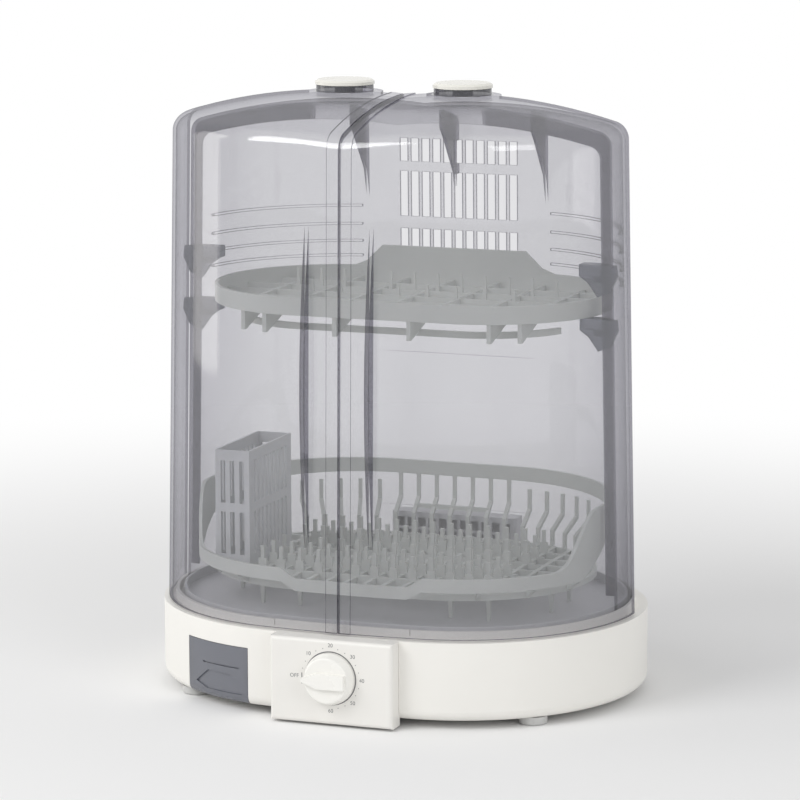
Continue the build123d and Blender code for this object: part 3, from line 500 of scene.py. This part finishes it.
@dataclass
class Dial:
    """Printed scale round the timer knob, and a ring of painted shade in the knob's gap."""

    scale_radius: float = 25.5 * MM
    letter_height: float = 3.1 * MM
    ink: float = 0.04 * MM
    off_shift: float = 29.6 * MM
    gap_shade_radii: tuple[float, float] = (20.2 * MM, 21.0 * MM)
    ring_segments: int = 96
    size_of_em: float = 1.35
    dot_radius: float = 0.35 * MM
    dot_reach: float = 23.6 * MM
    step: float = 45.0
    tick_shift: tuple[float, float] = (-23.4 * MM, -1.6 * MM)
    tick_size: tuple[float, float] = (0.7 * MM, 8.5 * MM)
    labels: tuple[tuple[str, float], ...] = (("10", 135), ("20", 90), ("30", 45), ("40", 0), ("50", -45),
                                             ("60", -90))

    def __post_init__(self) -> None:
        """Take the knob's centre and the panel's face from the frame."""
        low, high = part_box("timer_knob")
        self.centre = Vector(((low.x + high.x) / 2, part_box("control_panel")[0].y, (low.z + high.z) / 2))

    def word(self, text: str, offset: tuple[float, float]) -> bpy.types.Mesh:
        """Flat printed word, raised by the ink's thickness.

        Args:
            text: What it says.
            offset: Shift from the dial's centre along X and Z.

        Returns:
            Mesh in the row frame.
        """
        curve = bpy.data.curves.new("print_" + text, "FONT")
        curve.body = text
        curve.size = self.letter_height * self.size_of_em
        curve.align_x, curve.align_y = "CENTER", "CENTER"
        curve.extrude = self.ink
        carrier = bpy.data.objects.new("print_" + text, curve)
        mesh = bpy.data.meshes.new_from_object(carrier)
        bpy.data.objects.remove(carrier)
        mesh.transform(Matrix.Translation(self.centre + Vector((offset[0], 0, offset[1])))
                       @ Matrix.Rotation(pi / 2, 4, "X"))
        return mesh

    def flat(self, name: str, form: bmesh.types.BMesh) -> None:
        """Lay a flat mark, print or the painted gap shade, drawn in X and Y about the dial's centre, on the
        panel.

        Args:
            name: Name of the mark.
            form: The mark; it's freed.
        """
        mesh = bpy.data.meshes.new(name)
        form.to_mesh(mesh)
        form.free()
        mesh.transform(Matrix.Translation(self.centre - Vector((0, self.ink, 0)))
                       @ Matrix.Rotation(pi / 2, 4, "X"))
        place_piece(name, mesh, "print_grey", Body.CABINET)

    def gap_shade_ring(self) -> None:
        """Painted shade: a dark ring on the panel where the gap between the knob and the panel falls in shadow.
        """
        form = bmesh.new()
        inner, outer = self.gap_shade_radii
        bmesh.ops.create_circle(form, segments=self.ring_segments, radius=inner)
        grown = bmesh.ops.extrude_edge_only(form, edges=form.edges[:])["geom"]
        moved = [item for item in grown if isinstance(item, bmesh.types.BMVert)]
        bmesh.ops.scale(form, vec=(outer / inner, outer / inner, 1), verts=moved)
        bmesh.ops.recalc_face_normals(form, faces=form.faces)
        # This ring is painted shade in the print's grey, not print.
        self.flat("dial_gap_shade", form)

    def marks(self) -> None:
        """Dots between the numbers and the upright tick at OFF."""
        form = bmesh.new()
        for start in range(len(self.labels)):
            for share in (1 / 3, 2 / 3):
                angle = radians(180 - self.step * (start + share))
                place = Matrix.Translation((self.dot_reach * cos(angle), self.dot_reach * sin(angle), 0))
                bmesh.ops.create_circle(form, cap_ends=True, segments=12, radius=self.dot_radius,
                                        matrix=place)
        width, height = self.tick_size
        shape = Matrix.Translation((*self.tick_shift, 0))
        bmesh.ops.create_grid(form, x_segments=1, y_segments=1, size=0.5,
                              matrix=shape @ Matrix.Diagonal((width, height, 1, 1)))
        self.flat("dial_marks", form)

    def build(self) -> None:
        """Paint the shade ring in the knob's gap, and print the numbers, OFF and the marks."""
        self.gap_shade_ring()
        self.marks()
        for text, angle in self.labels:
            shift = (self.scale_radius * cos(radians(angle)), self.scale_radius * sin(radians(angle)))
            place_piece("dial_" + text, self.word(text, shift), "print_grey", Body.CABINET)
        place_piece("dial_off", self.word("OFF", (-self.off_shift, 0)), "print_grey", Body.CABINET)


@dataclass
class CadFinishes:
    """Finishes of the CAD nodes that show as they are."""

    def build(self) -> None:
        """Dress every node with the slot that the record gives it."""
        for entry in frame["record"]["subparts"]:
            dress(frame["nodes"][entry["node"]], entry["material_slot"])
            LOG.info("%s dressed as %s", entry["node"], entry["material_slot"])


# ---------------------------------------------------------------- studio
@dataclass
class Softbox:
    """Rectangular studio lamp aimed at the cabinet."""

    name: str
    place: Colour
    width: float
    height: float
    power: float
    colour: Colour = (1, 1, 1)
    diffuse: float = 1.0
    specular: float = 1.0
    target: Colour = (0, 0, 0.24)

    def build(self) -> None:
        """Hang the lamp."""
        lamp = bpy.data.lights.new(self.name, "AREA")
        lamp.shape = "RECTANGLE"
        lamp.size, lamp.size_y = self.width, self.height
        lamp.energy = self.power
        lamp.color = self.colour
        lamp.diffuse_factor, lamp.specular_factor = self.diffuse, self.specular
        holder = bpy.data.objects.new(self.name, lamp)
        bpy.context.scene.collection.objects.link(holder)
        aim = Vector(self.target) - Vector(self.place)
        holder.matrix_world = Matrix.Translation(self.place) @ aim.to_track_quat("-Z", "Y").to_matrix().to_4x4()


@dataclass
class Studio:
    """White room with soft light, a pale floor and the photograph's camera."""

    ambient: float = 0.62
    floor_half: float = 12.0
    floor_near: float = 0.42
    floor_far: float = 1.3
    floor_colour: Colour = (0.9, 0.9, 0.9)
    camera_place: Colour = (1.09524, -2.88910, 0.76524)
    camera_right: Colour = (0.93538, 0.35364, -0.00275)
    camera_up: Colour = (-0.05795, 0.16095, 0.98526)
    camera_back: Colour = (0.34887, -0.92143, 0.17104)
    lens: float = 179.68
    lamps: list[Softbox] = field(default_factory=lambda: [
        Softbox("key_front_left", (-1.5, -2.2, 2.2), 1.6, 1.6, 38.0, specular=0.3),
        Softbox("fill_right", (2.2, -1.6, 1.2), 1.4, 1.4, 13.0, specular=0.3),
        Softbox("strip_left", (-1.9, -0.25, 0.5), 0.9, 1.8, 8.0, (1, 0.97, 0.93), diffuse=0.5),
    ])

    def world(self) -> None:
        """White surroundings for sight and gloss, and dimmer ones for light on the object."""
        world = bpy.data.worlds.new("white_room")
        bpy.context.scene.world = world
        world.use_nodes = True
        nodes, links = world.node_tree.nodes, world.node_tree.links
        nodes.clear()
        path = nodes.new("ShaderNodeLightPath")
        seen = self.seen(nodes, links, path)
        lit, backdrop, mix = (nodes.new("ShaderNodeBackground"), nodes.new("ShaderNodeBackground"),
                              nodes.new("ShaderNodeMixShader"))
        lit.inputs["Strength"].default_value = self.ambient
        backdrop.inputs["Strength"].default_value = 1.0
        for node in (lit, backdrop):
            node.inputs["Color"].default_value = (1, 1, 1, 1)
        links.new(seen, mix.inputs[0])
        links.new(lit.outputs[0], mix.inputs[1])
        links.new(backdrop.outputs[0], mix.inputs[2])
        links.new(mix.outputs[0], nodes.new("ShaderNodeOutputWorld").inputs["Surface"])

    @staticmethod
    def seen(nodes: bpy.types.Nodes, links: bpy.types.NodeLinks,
             path: bpy.types.Node) -> bpy.types.NodeSocket:
        """One where a ray comes from the camera, a gloss or clear plastic.

        Args:
            nodes: Nodes of the tree.
            links: Links of the tree.
            path: Its Light Path node.

        Returns:
            The socket.
        """
        total = path.outputs["Is Camera Ray"]
        for name in ("Is Glossy Ray", "Is Transmission Ray"):
            step = nodes.new("ShaderNodeMath")
            step.operation = "MAXIMUM"
            links.new(total, step.inputs[0])
            links.new(path.outputs[name], step.inputs[1])
            total = step.outputs[0]
        return total

    def floor(self) -> None:
        """Pale floor that keeps the cabinet's shadow and fades into the white room."""
        form = bmesh.new()
        bmesh.ops.create_grid(form, x_segments=2, y_segments=2, size=self.floor_half)
        mesh = bpy.data.meshes.new("floor")
        form.to_mesh(mesh)
        form.free()
        floor = bpy.data.objects.new("floor", mesh)
        bpy.context.scene.collection.objects.link(floor)
        tree = ShaderTree("floor_pale")
        path = tree.add("LightPath")
        seen = self.seen(tree.nodes, tree.links, path)
        reach = tree.add("VectorMath", {0: tree.place}, operation="LENGTH").outputs["Value"]
        fade = tree.add("MapRange", {"Value": reach, "From Min": self.floor_near, "From Max": self.floor_far},
                        interpolation_type="SMOOTHSTEP").outputs[0]
        both = tree.add("Math", {0: fade, 1: seen}, operation="MULTIPLY").outputs[0]
        matt = tree.add("BsdfDiffuse", {"Color": (*self.floor_colour, 1)})
        white = tree.add("Emission", {"Color": (1, 1, 1, 1), "Strength": 1.0})
        floor.data.materials.append(tree.finish(
            tree.add("MixShader", {0: both, 1: matt.outputs[0], 2: white.outputs[0]})))

    def camera(self) -> None:
        """Camera at the photograph's place and angle."""
        lens = bpy.data.cameras.new("photo_camera")
        lens.lens, lens.sensor_width, lens.clip_end = self.lens, 36.0, 50.0
        camera = bpy.data.objects.new("photo_camera", lens)
        bpy.context.scene.collection.objects.link(camera)
        turn = Matrix((self.camera_right, self.camera_up, self.camera_back)).transposed().to_4x4()
        camera.matrix_world = Matrix.Translation(self.camera_place) @ turn
        bpy.context.scene.camera = camera

    def build(self) -> None:
        """Set up the room, the lamps and the camera."""
        scene = bpy.context.scene
        scene.view_settings.view_transform = "Standard"
        scene.cycles.transparent_max_bounces = 48
        scene.cycles.use_denoising = True
        self.world()
        self.floor()
        self.camera()
        for lamp in self.lamps:
            lamp.build()


def main() -> None:
    """Dress the cabinet, make its finer pieces and light it."""
    logging.basicConfig(level=logging.INFO, format="%(name)s: %(message)s")
    for maker in (CadFinishes(), ClearShells(), LowPegs(), Dial(), Studio()):
        maker.build()
        LOG.info("%s done", type(maker).__name__)


if __name__ == "__main__":
    main()
